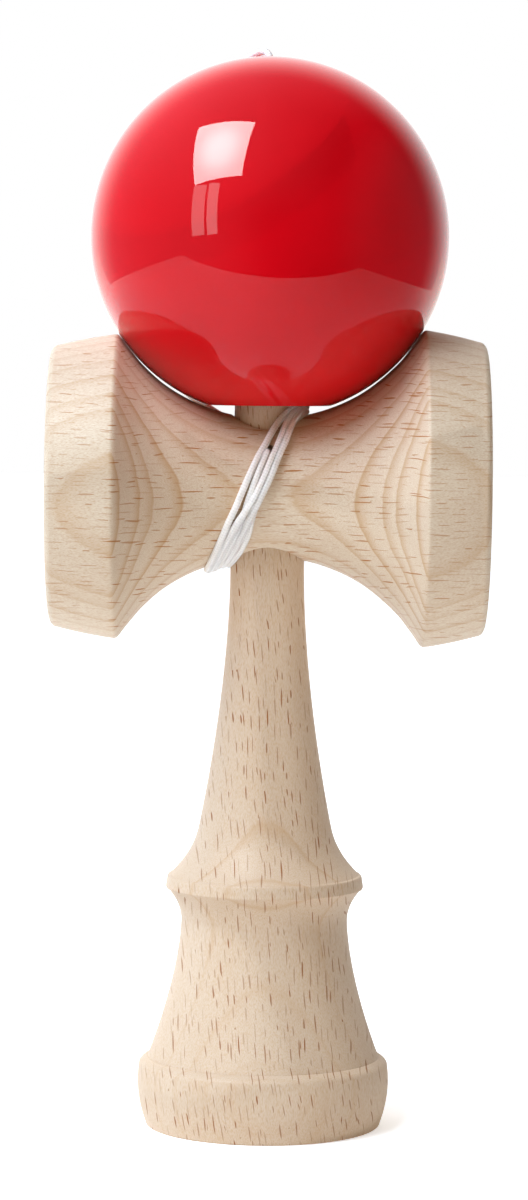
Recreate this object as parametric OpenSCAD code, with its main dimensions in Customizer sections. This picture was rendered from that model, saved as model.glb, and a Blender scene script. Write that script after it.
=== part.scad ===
// A wooden cup and ball toy that stands on its base: a turned stick with a spike and a base cup,
// a crosspiece with two cups, a lacquered ball with a hole, and the string that ties them together.
// Lengths are in millimetres. The part stands on the origin, +Z runs up the stick, +X runs along
// the crosspiece to its larger cup, and the hole that the string comes out of faces -Y.

/* [Stick] */

// Height of the stick from the table to the tip of the spike
stick_h = 155; // [150:0.5:156]
// Radius of the flat ring that the stick stands on
foot_r = 19.4; // [18.4:0.1:19.6]
// Height of the rounded edge at the table
foot_round = 0.5; // [0.3:0.1:1.2]
// Largest radius of the base
base_r = 21.2; // [20.6:0.1:23]
// Height of the base's widest place
base_belly_z = 7.6; // [6.6:0.1:8.6]
// How far the base tucks in at the table
base_tuck = 1.5; // [1:0.1:2.2]
// Height of the edge at the top of the base
shoulder_z = 10.5; // [9.8:0.1:11]
// Length of the rounding along that edge
shoulder_round = 0.8; // [0.3:0.1:1.2]
// Height where the skirt starts above the base
skirt_z = 11.6; // [11.2:0.1:13.6]
// Radius of the skirt there
skirt_r = 19.5; // [18:0.1:20]
// Height of the stick's waist
waist_z = 34.8; // [30:0.2:37]
// Radius of the stick's waist
waist_r = 14; // [11:0.1:15]
// Height of the lower edge of the flange
flange_z = 39.8; // [38.5:0.1:42]
// Thickness of the flange's edge
flange_t = 2.7; // [1.5:0.1:4]
// Radius of the flange
flange_r = 16.7; // [16:0.1:19]
// Depth of the rounding on the flange's edge
flange_round = 0.45; // [0.2:0.05:0.8]
// Radius of the shaft where it meets the flange, without the flare
shaft_r = 12.9; // [10:0.1:14]
// Height of the flare that joins the shaft to the flange
flare_h = 8.2; // [5:0.1:12]
// Drop from the crosspiece's axis to where the shaft's taper ends
neck_drop = 14.2; // [12.8:0.1:22]
// Radius of the neck that the crosspiece sits on
neck_r = 6.2; // [5.6:0.05:6.3]
// Height of the spike's tip above the crosspiece's axis
spike_rise = 47.3; // [44:0.1:48.5]
// Radius of the spike just under its rounded tip
tip_r = 3; // [2:0.1:4]
// Height of the rounded tip
tip_h = 2.6; // [1.5:0.1:3.5]
// Radius of the mouth of the base cup
base_cup_r = 16.8; // [14:0.1:17]
// Depth of the base cup
base_cup_depth = 7.4; // [5.5:0.1:9]

/* [Crosspiece] */

// Length of the crosspiece from rim to rim
cross_l = 72.8; // [70:0.2:76]
// Radius of the crosspiece's waist
cross_waist_r = 11.6; // [11:0.1:12.5]
// Gap between the ball and the saddle that it sits in
saddle_gap = 0.3; // [0.3:0.05:0.5]
// Radius of the ridge beside the small cup
small_ridge_r = 25.5; // [24.5:0.1:26]
// Radius of the outside of the small cup's rim
small_rim_r = 23.4; // [22.6:0.1:24]
// Radius of the mouth of the small cup
small_cup_r = 20.2; // [18:0.1:20.8]
// Depth of the small cup
small_cup_depth = 9.8; // [8.5:0.1:11]
// Radius of the ridge beside the big cup
big_ridge_r = 26.6; // [26:0.1:27]
// Radius of the outside of the big cup's rim
big_rim_r = 24.4; // [23.8:0.1:25]
// Radius of the mouth of the big cup
big_cup_r = 21.4; // [20:0.1:21.8]
// Depth of the big cup
big_cup_depth = 10.8; // [9.5:0.1:12]
// Rounding of the rims
rim_round = 1.3; // [0.6:0.1:1.6]
// Chamfer on the inner edge of the cups
lip = 0.5; // [0.2:0.1:0.8]
// How far the bands beside the cups swell
band_crown = 0.15; // [0:0.05:0.4]

/* [Ball] */

// Radius of the ball
ball_r = 30; // [29:0.1:30.5]
// Radius of the edge of the ball's hole
mouth_r = 10.2; // [9.6:0.1:11]
// Radius of the ball's hole
hole_r = 8.2; // [7.9:0.1:9]
// Height of the bevel at the hole's mouth
mouth_bevel = 4; // [3:0.1:5]
// Depth of the hole from its mouth to the start of its roof
hole_depth = 43.5; // [42:0.5:45]
// Height of the hole's conical roof
roof_h = 4.3; // [3.5:0.1:5]
// Radius of the string's hole in the top of the ball
eye_r = 1.1; // [0.9:0.05:1.4]
// Radius of the flare of that hole
eye_flare_r = 2.6; // [2.4:0.1:3.5]
// Depth of that flare
eye_flare_depth = 1.8; // [1.5:0.1:2.5]
// Radius of the bead that the string turns on
bead_r = 3; // [2.6:0.1:3.2]
// Height of the bead between its flat ends
bead_h = 5; // [4:0.1:5.2]
// Radius of the hole through the bead
bead_hole_r = 0.9; // [0.8:0.05:1.1]
// Gap between the bead and the roof of the hole
bead_gap = 0.3; // [0.2:0.05:0.5]

/* [String] */

// Radius of the string
string_r = 0.6; // [0.5:0.02:0.62]
// Radius of the string's holes in the stick and the crosspiece
string_hole_r = 1.1; // [0.9:0.05:1.3]
// Height of those holes above the crosspiece's axis
string_hole_rise = 6.7; // [6.6:0.05:6.8]
// Radius of the knot in the stick
knot_r = 1.5; // [1.2:0.05:1.6]
// Gap round that knot in its pocket
knot_gap = 0.3; // [0.2:0.05:0.5]
// Radius of the knot under the bead
bead_knot_r = 1.6; // [1.3:0.05:1.7]
// Gap between the wound string and the wood
wound_gap = 0.3; // [0.25:0.05:0.4]
// Pitch of the strands where they lie side by side
strand_pitch = 1.84; // [1.82:0.01:1.86]
// How far a turn swings along the crosspiece to either side
turn_swing = 8; // [7.95:0.01:8.05]
// Where the middle of a turn lies along the crosspiece
turn_mid = -0.9; // [-0.95:0.01:-0.85]
// How far a turn bows to the big cup at its front and back
turn_bow = 1.5; // [1.4:0.02:1.6]

/* [Hidden] */

$fn = 180;
// How far a cut runs past what it cuts
overrun = 1;

// Powers of the stick's curves
skirt_bend = 1.6;
flange_bend = 2;
shaft_bend = 1.75;
flare_bend = 2.2;
spike_bend = 1.7;
// Steps along the stick's curves
curve_steps = 14;
shaft_steps = 26;
round_steps = 5;

// The crosspiece and what it carries hang from the spike's tip, and a longer stick has a longer shaft
cross_z = stick_h - spike_rise;
neck_z = cross_z - neck_drop;
flange_lip_r = flange_r - flange_round;
flange_top_z = flange_z + flange_t;
saddle_r = ball_r + saddle_gap;
saddle_c = cross_waist_r + saddle_r;
cross_half = cross_l / 2;
spike_z = cross_z + cross_waist_r;

ball_z = cross_z + saddle_c;
mouth_z = ball_z - sqrt(ball_r * ball_r - mouth_r * mouth_r);
bevel_slope = (mouth_r - hole_r) / mouth_bevel;
roof_z = mouth_z + hole_depth;
roof_angle = atan2(roof_h, hole_r - eye_r);
bead_z = roof_z + roof_h + eye_r * tan(roof_angle) - (bead_r + bead_gap) / cos(roof_angle);
bead_low_z = bead_z - bead_h / 2;

string_z = cross_z + string_hole_rise;
knot_flat_share = 0.8;
knot_y = neck_r - knot_gap - knot_r;
knot_face_y = knot_y - knot_r * knot_flat_share;
pocket_y = knot_y - knot_r - knot_gap;
pocket_r = knot_r + knot_gap;

// Smooth step from 0 to 1
function ease(t) = t * t * (3 - 2 * t);
// Point on a curve that is drawn to the corner b between a and c
function bend(a, b, c, t) = (1 - t) * (1 - t) * a + 2 * t * (1 - t) * b + t * t * c;

// Stick
function base_side(z) = base_r - base_tuck * pow((z - base_belly_z) / base_belly_z, 2);
function shaft_side(z) =
    let (t = (neck_z - z) / (neck_z - flange_top_z))
    let (q = max(0, 1 - (z - flange_top_z) / flare_h))
    neck_r + (shaft_r - neck_r) * pow(t, shaft_bend) + (flange_lip_r - shaft_r) * pow(q, flare_bend);

foot_edge = [for (i = [0:round_steps])
    let (a = 90 * i / round_steps)
    [foot_r + (base_side(foot_round) - foot_r) * sin(a), foot_round * (1 - cos(a))]];
base_top_z = shoulder_z - shoulder_round;
base_curve = [for (i = [1:curve_steps])
    let (z = foot_round + (base_top_z - foot_round) * i / curve_steps)
    [base_side(z), z]];
shoulder_corner = [base_side(shoulder_z), shoulder_z];
skirt_corner = [skirt_r, skirt_z];
shoulder_end = shoulder_corner
    + shoulder_round * (skirt_corner - shoulder_corner) / norm(skirt_corner - shoulder_corner);
shoulder_edge = [for (i = [1:round_steps])
    bend([base_side(base_top_z), base_top_z], shoulder_corner, shoulder_end, i / round_steps)];
skirt_curve = [for (i = [0:curve_steps])
    let (f = i / curve_steps)
    [waist_r + (skirt_r - waist_r) * pow(1 - f, skirt_bend), skirt_z + (waist_z - skirt_z) * f]];
flange_under = [for (i = [1:curve_steps])
    let (f = i / curve_steps)
    [waist_r + (flange_lip_r - waist_r) * pow(f, flange_bend), waist_z + (flange_z - waist_z) * f]];
flange_edge = [for (i = [1:2 * round_steps])
    let (a = 90 * i / round_steps)
    [flange_lip_r + flange_round * sin(a), flange_z + flange_t * (1 - cos(a)) / 2]];
shaft_curve = [for (i = [1:shaft_steps])
    let (z = flange_top_z + (neck_z - flange_top_z) * pow(i / shaft_steps, shaft_bend))
    [shaft_side(z), z]];
tip_z = stick_h - tip_h;
spike_curve = [for (i = [0:curve_steps])
    let (f = i / curve_steps)
    [tip_r + (neck_r - tip_r) * (1 - pow(f, spike_bend)), spike_z + (tip_z - spike_z) * f]];
tip_curve = [for (i = [1:round_steps])
    let (a = 90 * i / round_steps)
    [tip_r * cos(a), tip_z + tip_h * sin(a)]];

// A hollow of the given mouth radius and depth, with its mouth in the plane z = 0
module dish(mouth, depth) {
    dish_r = (mouth * mouth + depth * depth) / (2 * depth);
    translate([0, 0, depth - dish_r])
        sphere(r = dish_r);
}

module stick() {
    color([0.85, 0.74, 0.6])
    difference() {
        rotate_extrude()
            polygon(concat([[0, 0]], foot_edge, base_curve, shoulder_edge, skirt_curve, flange_under,
                           flange_edge, shaft_curve, spike_curve, tip_curve));
        dish(base_cup_r, base_cup_depth);
        translate([0, 0, -overrun])
            cylinder(h = overrun + lip, r1 = base_cup_r + overrun, r2 = base_cup_r - lip);
        translate([0, 0, string_z])
            rotate([90, 0, 0])
                cylinder(h = neck_r + overrun, r = string_hole_r);
        translate([0, pocket_y + string_hole_r, string_z])
            rotate([90, 0, 0])
                cylinder(h = pocket_y + 2 * string_hole_r, r = string_hole_r);
        translate([0, pocket_y, string_z])
            rotate([-90, 0, 0])
                cylinder(h = neck_r + overrun - pocket_y, r = pocket_r);
    }
}

// Crosspiece
function ridge_x(r) = sqrt(saddle_r * saddle_r - pow(saddle_c - r, 2));
// Outline from the rim's inner edge to just past the ridge, as [radius, distance from the middle]
function band(ridge, rim) =
    let (slope = (ridge - rim) / (cross_half - ridge_x(ridge)))
    let (rim_edge = [for (i = [0:round_steps])
        let (a = 90 * i / round_steps)
        [rim - rim_round + (rim_round + slope * rim_round) * sin(a),
         cross_half - rim_round * (1 - cos(a))]])
    let (middle = [(rim + ridge) / 2 + band_crown, (cross_half + ridge_x(ridge)) / 2])
    let (past = [ridge + slope * rim_round, ridge_x(ridge) - rim_round])
    concat(rim_edge, [middle, past]);
big_band = band(big_ridge_r, big_rim_r);
small_band = [for (p = band(small_ridge_r, small_rim_r)) [p[0], -p[1]]];
small_band_back = [for (i = [len(small_band) - 1:-1:0]) small_band[i]];

module crosspiece() {
    color([0.87, 0.77, 0.63])
    translate([0, 0, cross_z])
    difference() {
        rotate([0, 90, 0])
            rotate_extrude()
                difference() {
                    polygon(concat([[0, cross_half]], big_band, small_band_back, [[0, -cross_half]]));
                    translate([saddle_c, 0])
                        circle(r = saddle_r);
                }
        translate([0, 0, -big_ridge_r])
            cylinder(h = 2 * big_ridge_r, r = neck_r);
        translate([0, 0, string_hole_rise])
            rotate([90, 0, 0])
                cylinder(h = cross_waist_r + overrun, r = string_hole_r);
        translate([cross_half, 0, 0])
            rotate([0, -90, 0])
                cup(big_cup_r, big_cup_depth);
        translate([-cross_half, 0, 0])
            rotate([0, 90, 0])
                cup(small_cup_r, small_cup_depth);
    }
}

// A hollow with a chamfered edge
module cup(mouth, depth) {
    dish(mouth, depth);
    translate([0, 0, -overrun])
        cylinder(h = overrun + lip, r1 = mouth + overrun, r2 = mouth - lip);
}

// Ball
module ball() {
    color([0.78, 0.04, 0.06])
    difference() {
        translate([0, 0, ball_z])
            sphere(r = ball_r);
        translate([0, 0, mouth_z - mouth_bevel])
            cylinder(h = 2 * mouth_bevel, r1 = mouth_r + bevel_slope * mouth_bevel, r2 = hole_r);
        translate([0, 0, mouth_z])
            cylinder(h = hole_depth, r = hole_r);
        translate([0, 0, roof_z])
            cylinder(h = roof_h, r1 = hole_r, r2 = eye_r);
        translate([0, 0, roof_z])
            cylinder(h = ball_r, r = eye_r);
        translate([0, 0, ball_z + ball_r - eye_flare_depth])
            cylinder(h = 2 * eye_flare_depth, r1 = eye_r, r2 = 2 * eye_flare_r - eye_r);
    }
}

module swivel_bead() {
    color([0.8, 0.66, 0.5])
    difference() {
        intersection() {
            translate([0, 0, bead_z])
                sphere(r = bead_r);
            translate([0, 0, bead_low_z])
                cylinder(h = bead_h, r = bead_r + overrun);
        }
        translate([0, 0, bead_low_z - overrun])
            cylinder(h = bead_h + 2 * overrun, r = bead_hole_r);
    }
}

// A round knot with a flat face, where the string leaves it along +Z, in the plane z = 0
module knot(r) {
    difference() {
        translate([0, 0, -r * knot_flat_share])
            sphere(r = r);
        cylinder(h = r, r = r + overrun);
    }
}

module bead_knot() {
    color([0.9, 0.88, 0.86])
    translate([0, 0, bead_low_z])
        knot(bead_knot_r);
}

module stick_knot() {
    color([0.9, 0.88, 0.86])
    translate([0, knot_face_y, string_z])
        rotate([90, 0, 0])
            knot(knot_r);
}

// String
// Routes of the string's free stretches, measured from the middle of the crosspiece
lead_route = [[0, -8.8, 6.7], [0, -10.2, 6.6], [-0.3, -11.4, 5.8], [-1, -12.1, 4.3]];
tail_route = [[-1.4, 12.5, 9.4], [-3, 11.8, 11.3], [-4, 11.4, 11.8]];
riser_route = [[-4, 11.4, 11.8], [-5, 11, 12.3], [-7.3, 10.4, 13.1], [-9.9, 10.2, 14],
               [-12.3, 10.5, 15], [-14.6, 11.9, 16.5], [-16.3, 15.2, 19.6], [-16.6, 19.8, 24.4],
               [-16.2, 24, 30.5], [-16.5, 26.4, 36], [-16, 26.8, 41.9], [-15.8, 26.3, 47.5],
               [-14.7, 25.2, 53], [-12, 20.6, 62], [-8.1, 14, 68.6], [-4.6, 8, 71.6],
               [-2.3, 4, 72.55], [-1.2, 2.1, 72.65], [-0.7, 1.2, 72.4], [-0.3, 0.5, 71.8],
               [-0.1, 0.15, 71.1], [0, 0, 70.25], [0, 0, 69.05]];
// Greatest distance between the riser's rings
riser_step = 3.2;
// Direction that the riser's rings are turned to
riser_side = [0.87, 0.5, 0];
riser_end_z = cross_z + riser_route[len(riser_route) - 1][2];

// Rings in a turn, sides of a ring, and where the formula for the turns starts and ends.
// Turns are counted from the front of the crosspiece, down, round the back and over the top.
turn_rings = 24;
wound_sides = 6;
riser_sides = 8;
first_turn = -0.03;
last_turn = 4.57;
top_turn = 0.75;
// Share of a turn over which the strands gather into a stack beside the spike
gather_share = 0.17;
// Rows of: turn, place of the strand in the row and height over the row, both as shares of the pitch
winding_shares = [[-0.1, 2, 0], [0.25, 2, 0], [0.75, 2, 0], [0.8, 2.1, 0], [0.9, 3.25, 0],
                  [1, 3.1, 0], [1.24, 3, 0], [1.31, 3, 0.65], [1.36, 2.6, 1.03], [1.42, 1.6, 1.03],
                  [1.48, 1, 0.3], [1.53, 1, 0], [1.75, 1, 0], [2.28, 1, 0], [2.5, 0, 0], [2.75, 0, 0],
                  [3.28, 0, 0], [3.5, -1, 0], [3.62, -1, 0], [3.7, -0.95, 0], [3.8, -0.95, 0],
                  [3.88, -1, 0], [4.25, -1, 0], [4.33, -1.2, 0.76], [4.4, -1, 1.03],
                  [4.47, -0.2, 1.03], [4.53, 1.2, 1.03], [4.59, 2.6, 1.03], [4.65, 4, 0.76]];

function saddle_at(x) = saddle_c - sqrt(saddle_r * saddle_r - x * x);
function seek(u, i = 0) =
    i + 2 >= len(winding_shares) || u < winding_shares[i + 1][0] ? i : seek(u, i + 1);
function share_at(u, column) =
    let (i = seek(u))
    let (low = winding_shares[i])
    let (high = winding_shares[i + 1])
    low[column] + (high[column] - low[column]) * ease((u - low[0]) / (high[0] - low[0]));
function wound_point(u) =
    let (a = 360 * u)
    let (near = 1 - min(abs(u - floor(u) - top_turn) / gather_share, 1))
    let (stack = 90 * ease(near))
    let (place = share_at(u, 1))
    let (slope = (turn_swing * cos(a) + turn_bow * sin(2 * a)) / cross_waist_r)
    let (pitch = strand_pitch * sqrt(1 + slope * slope))
    let (open = place > 0 ? cos(stack) : 1)
    let (x = turn_mid - turn_swing * sin(a) + turn_bow * cos(a) * cos(a) - place * pitch * open)
    let (lift = strand_pitch * (max(place, 0) * sin(stack) + share_at(u, 2)))
    let (r = saddle_at(x) + string_r + wound_gap + lift)
    [x, -r * cos(a), -r * sin(a)];

wound_count = round((last_turn - first_turn) * turn_rings);
wound_path = concat([[0, knot_face_y, string_hole_rise], [0, knot_face_y - 2 * string_r, string_hole_rise]],
                    lead_route,
                    [for (i = [0:wound_count])
                        wound_point(first_turn + (last_turn - first_turn) * i / wound_count)],
                    tail_route);
wound_up = [for (p = wound_path) [0, p[1], p[2]]];

// Smooth curve through b and c, with neighbours a and d
function through(a, b, c, d, t) =
    b + t * (c - a) / 2 + t * t * (2 * a - 5 * b + 4 * c - d) / 2 + t * t * t * (3 * b - 3 * c + d - a) / 2;
riser_last = len(riser_route) - 1;
riser_path = concat([riser_route[0]],
    [for (i = [1:riser_last - 2])
        let (steps = ceil(norm(riser_route[i + 1] - riser_route[i]) / riser_step))
        for (k = [0:steps - 1])
            through(riser_route[i - 1], riser_route[i], riser_route[i + 1], riser_route[i + 2], k / steps)],
    [riser_route[riser_last - 1], riser_route[riser_last]]);
riser_up = [for (p = riser_path) riser_side];

// Least gap between strands of the winding, measured on points along it
gap_steps = 3;
gap_skip = 6 * gap_steps;
gap_points = [for (i = [0:len(wound_path) - 2])
    for (k = [0:gap_steps - 1])
        wound_path[i] + (wound_path[i + 1] - wound_path[i]) * k / gap_steps];
string_gap = min([for (i = [0:len(gap_points) - gap_skip - 1])
    min([for (k = [i + gap_skip:len(gap_points) - 1]) norm(gap_points[i] - gap_points[k])])]) - 2 * string_r;
echo(string_gap = string_gap);

function unit(v) = v / norm(v);
function heading(path, i) = unit(path[min(i + 1, len(path) - 1)] - path[max(i - 1, 0)]);
function ring(path, up, i, r, sides) =
    let (ahead = heading(path, i))
    let (side = unit(cross(ahead, up[i])))
    let (rise = cross(side, ahead))
    [for (k = [0:sides - 1]) path[i] + r * (cos(360 * k / sides) * side + sin(360 * k / sides) * rise)];

module tube(path, up, r, sides) {
    last = len(path) - 1;
    points = [for (i = [0:last]) each ring(path, up, i, r, sides)];
    walls = [for (i = [0:last - 1])
        for (k = [0:sides - 1])
            let (a = i * sides + k)
            let (b = i * sides + (k + 1) % sides)
            each [[a, b, a + sides], [b, b + sides, a + sides]]];
    start = [for (k = [1:sides - 2]) [0, k + 1, k]];
    end = [for (k = [1:sides - 2]) [last * sides, last * sides + k, last * sides + k + 1]];
    polyhedron(points = points, faces = concat(walls, start, end), convexity = 10);
}

module string_winding() {
    color([0.94, 0.93, 0.92])
    translate([0, 0, cross_z])
        tube(wound_path, wound_up, string_r, wound_sides);
}

module string_riser() {
    color([0.94, 0.93, 0.92])
    translate([0, 0, cross_z])
        tube(riser_path, riser_up, string_r, riser_sides);
}

module string_inner() {
    color([0.94, 0.93, 0.92])
    translate([0, 0, bead_low_z])
        cylinder(h = riser_end_z - bead_low_z, r = string_r);
}

stick();
crosspiece();
ball();
swivel_bead();
bead_knot();
string_inner();
string_riser();
string_winding();
stick_knot();
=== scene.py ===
from math import atan2, cos, hypot, pi, radians, sin, sqrt

import bpy
import bmesh
from mathutils import Matrix, Vector


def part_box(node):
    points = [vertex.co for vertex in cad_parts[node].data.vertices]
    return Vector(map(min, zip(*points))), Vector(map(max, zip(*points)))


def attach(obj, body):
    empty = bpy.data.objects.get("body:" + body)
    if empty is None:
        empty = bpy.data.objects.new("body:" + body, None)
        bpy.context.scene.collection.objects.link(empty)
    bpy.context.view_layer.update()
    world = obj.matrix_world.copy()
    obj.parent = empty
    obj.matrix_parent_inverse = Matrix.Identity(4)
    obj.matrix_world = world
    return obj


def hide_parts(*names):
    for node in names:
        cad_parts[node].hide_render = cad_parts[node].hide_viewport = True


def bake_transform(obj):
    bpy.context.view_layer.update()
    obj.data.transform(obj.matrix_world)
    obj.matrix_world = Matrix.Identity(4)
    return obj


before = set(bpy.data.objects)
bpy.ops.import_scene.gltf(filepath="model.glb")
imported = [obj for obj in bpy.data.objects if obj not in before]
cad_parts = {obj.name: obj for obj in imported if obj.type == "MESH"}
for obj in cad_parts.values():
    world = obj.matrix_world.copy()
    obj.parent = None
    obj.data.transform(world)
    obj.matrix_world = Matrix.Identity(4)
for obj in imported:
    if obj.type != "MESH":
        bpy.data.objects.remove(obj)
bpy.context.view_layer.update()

mm = 0.001
crossZ = 107.7  # height of the crosspiece's axis, mm
crispTurn = radians(38)  # edges that turn more than this stay crisp
leastStep = 0.004  # points of an outline that are nearer than this are one, mm
scene = bpy.context.scene
scene.view_settings.view_transform = "Standard"
print("kendama: frame loaded")


# camera at the eye height and distance that the photograph was taken from

cameraView = {"distance": 0.655, "eyeHeight": 0.1303, "aimHeight": 0.0888, "aside": -0.0005,
              "lens": 117.1, "sensorHeight": 36, "roll": 0.5, "nearest": 0.01}


def addCamera(view):
    data = bpy.data.cameras.new("camera")
    data.sensor_fit = "VERTICAL"
    data.sensor_height = view["sensorHeight"]
    data.lens = view["lens"]
    data.clip_start = view["nearest"]
    camera = bpy.data.objects.new("camera", data)
    scene.collection.objects.link(camera)
    eye = Vector((view["aside"], -view["distance"], view["eyeHeight"]))
    aim = Vector((view["aside"], 0, view["aimHeight"]))
    roll = Matrix.Rotation(radians(view["roll"]), 3, "Z")
    turn = (aim - eye).to_track_quat("-Z", "Y").to_matrix() @ roll
    camera.matrix_world = Matrix.Translation(eye) @ turn.to_4x4()
    scene.camera = camera


addCamera(cameraView)
print("kendama: camera set")


# helpers for node trees

# links what varies, and sets a constant on the sockets themselves
def fill(tree, sockets, values):
    for key, value in values.items():
        if isinstance(value, bpy.types.NodeSocket):
            tree.links.new(value, sockets[key])
        else:
            sockets[key].default_value = value


def put(tree, kind, inputs=None, **settings):
    made = tree.nodes.new(kind)
    for key, value in settings.items():
        setattr(made, key, value)
    fill(tree, made.inputs, inputs or {})
    return made


def calc(tree, how, *values):
    return put(tree, "ShaderNodeMath", dict(enumerate(values)), operation=how).outputs[0]


def times(tree, result, *others):
    for other in others:
        result = calc(tree, "MULTIPLY", result, other)
    return result


def plus(tree, result, *others):
    for other in others:
        result = calc(tree, "ADD", result, other)
    return result


def minus(tree, a, b):
    return calc(tree, "SUBTRACT", a, b)


def vector(tree, x, y, z):
    return put(tree, "ShaderNodeCombineXYZ", {0: x, 1: y, 2: z}).outputs[0]


def parts(tree, value):
    return put(tree, "ShaderNodeSeparateXYZ", {0: value}).outputs


def vectorMath(tree, how, inputs):
    return put(tree, "ShaderNodeVectorMath", inputs, operation=how).outputs


def noiseAt(tree, place, scale, detail):
    return put(tree, "ShaderNodeTexNoise", {"Vector": place, "Scale": scale, "Detail": detail}).outputs[0]


def spread(tree, value, low, high, to0=0.0, to1=1.0, smooth=False):
    return put(tree, "ShaderNodeMapRange", {0: value, 1: low, 2: high, 3: to0, 4: to1},
               interpolation_type="SMOOTHSTEP" if smooth else "LINEAR").outputs[0]


def mixColor(tree, share, *colours):
    a, b = (c if isinstance(c, bpy.types.NodeSocket) else (*c, 1) for c in colours)
    return put(tree, "ShaderNodeMix", {0: share, 6: a, 7: b}, data_type="RGBA", clamp_factor=True).outputs[2]


def objectPlace(tree):
    return put(tree, "ShaderNodeTexCoord").outputs["Object"]


def bumpFrom(tree, height, strength, distance):
    return put(tree, "ShaderNodeBump",
               {"Strength": strength, "Distance": distance, "Height": height}).outputs[0]


def newMaterial(name, colour):
    material = bpy.data.materials.new(name)
    material.use_nodes = True
    material.diffuse_color = (*colour, 1)
    return material, material.node_tree, material.node_tree.nodes["Principled BSDF"]


# helpers for meshes

def addObject(name, mesh, material=None):
    piece = bpy.data.objects.new(name, mesh)
    scene.collection.objects.link(piece)
    if material:
        mesh.materials.append(material)
    return piece


def evaluatedMesh(piece):
    ready = bpy.context.evaluated_depsgraph_get()
    return bpy.data.meshes.new_from_object(piece.evaluated_get(ready), depsgraph=ready)


def smoothFaces(mesh):
    mesh.shade_smooth()
    mesh.set_sharp_from_angle(angle=crispTurn)


# outline is a run of (radius, height) points, from axis to axis or round a bore and back to its start
def turned(name, outline, segments, axis="Z", height=0.0):
    shape = bmesh.new()
    angles = [2 * pi * k / segments for k in range(segments)]
    rings = []
    for r, h in outline:
        around = [(r * cos(a), r * sin(a)) for a in angles] if r > 1e-6 else [(0, 0)]
        if axis == "Z":
            spots = [(a, b, h + height) for a, b in around]
        else:
            spots = [(h, a, b + height) for a, b in around]
        rings.append([shape.verts.new([v * mm for v in spot]) for spot in spots])
    pairs = list(zip(rings, rings[1:]))
    if len(rings[0]) > 1:
        pairs.append((rings[-1], rings[0]))
    for low, high in pairs:
        for k in range(segments):
            after = k + 1
            face = [low[k % len(low)], low[after % len(low)], high[after % len(high)], high[k % len(high)]]
            shape.faces.new(list(dict.fromkeys(face)))
    bmesh.ops.recalc_face_normals(shape, faces=shape.faces)
    mesh = bpy.data.meshes.new(name)
    shape.to_mesh(mesh)
    shape.free()
    smoothFaces(mesh)
    return mesh


# even steps from 0 to 1, with both ends
def steps(count):
    return [i / count for i in range(count + 1)]


def eased(t):
    return t * t * (3 - 2 * t)


def between(a, b, share):
    return a + (b - a) * share


# a shallow dish from its middle to its rim, as (radius, height over its lowest point)
def dishCurve(rim, depth, count):
    ball = (rim ** 2 + depth ** 2) / (2 * depth)
    half = atan2(rim, ball - depth)
    return [(ball * sin(half * f), ball * (1 - cos(half * f))) for f in steps(count)]


# points of a rounded corner b between a and c, with the given reach along both sides
def rounded(a, b, c, reach, count=6):
    a, b, c = Vector(a), Vector(b), Vector(c)
    start = b + (a - b).normalized() * min(reach, (a - b).length * 0.5)
    end = b + (c - b).normalized() * min(reach, (c - b).length * 0.5)
    return [tuple((1 - t) ** 2 * start + 2 * t * (1 - t) * b + t * t * end) for t in steps(count)]


# leaves out points that nearly meet the one before
def tidyOutline(points):
    out = [points[0]]
    for p in points[1:]:
        if hypot(p[0] - out[-1][0], p[1] - out[-1][1]) > leastStep:
            out.append(p)
    return out


# string: its route first, then the braided cord along it

stringCord = {"diameter": 1.12, "sides": 24, "step": 0.165, "carriers": 8, "pick": 0.5, "depth": 0.022,
              "knotRadius": 0.5, "knotSteps": 120, "knotDepth": 1.4}
# the braid's hollow colour is painted shade and its crest colour is painted light
stringFinish = {"plain": (0.83, 0.82, 0.8), "paintedHollowShade": (0.81, 0.765, 0.72), "light": (0.95, 0.9, 0.845),
                "fuzz": 2600.0, "fineHeight": 0.25, "fuzzHeight": 0.5, "rough": (0.55, 0.75),
                "specular": 0.35, "sheen": 0.25, "glow": 0.75, "glowColour": (1.0, 0.93, 0.87),
                "glowDepth": 0.0012, "bump": 0.6, "bumpHeight": 0.00005}
# wood that it lies on, measured from the middle of the crosspiece
stringBed = {"waist": 11.6, "saddle": 30.3, "saddleEnd": 22, "core": 8, "spike": 5.75, "spikeLow": 8.5,
             "spikeHigh": 24, "spikeAxis": 0.5, "snug": 0.54}
# how the route is drawn: steps in a turn and between free points, spacing, rounds of smoothing
stringDrawing = {"perTurn": 180, "perSpan": 10, "spacing": 0.2, "lead": 13, "rounds": 60, "clearEvery": 10}
saddleCentre = stringBed["waist"] + stringBed["saddle"]

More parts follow.
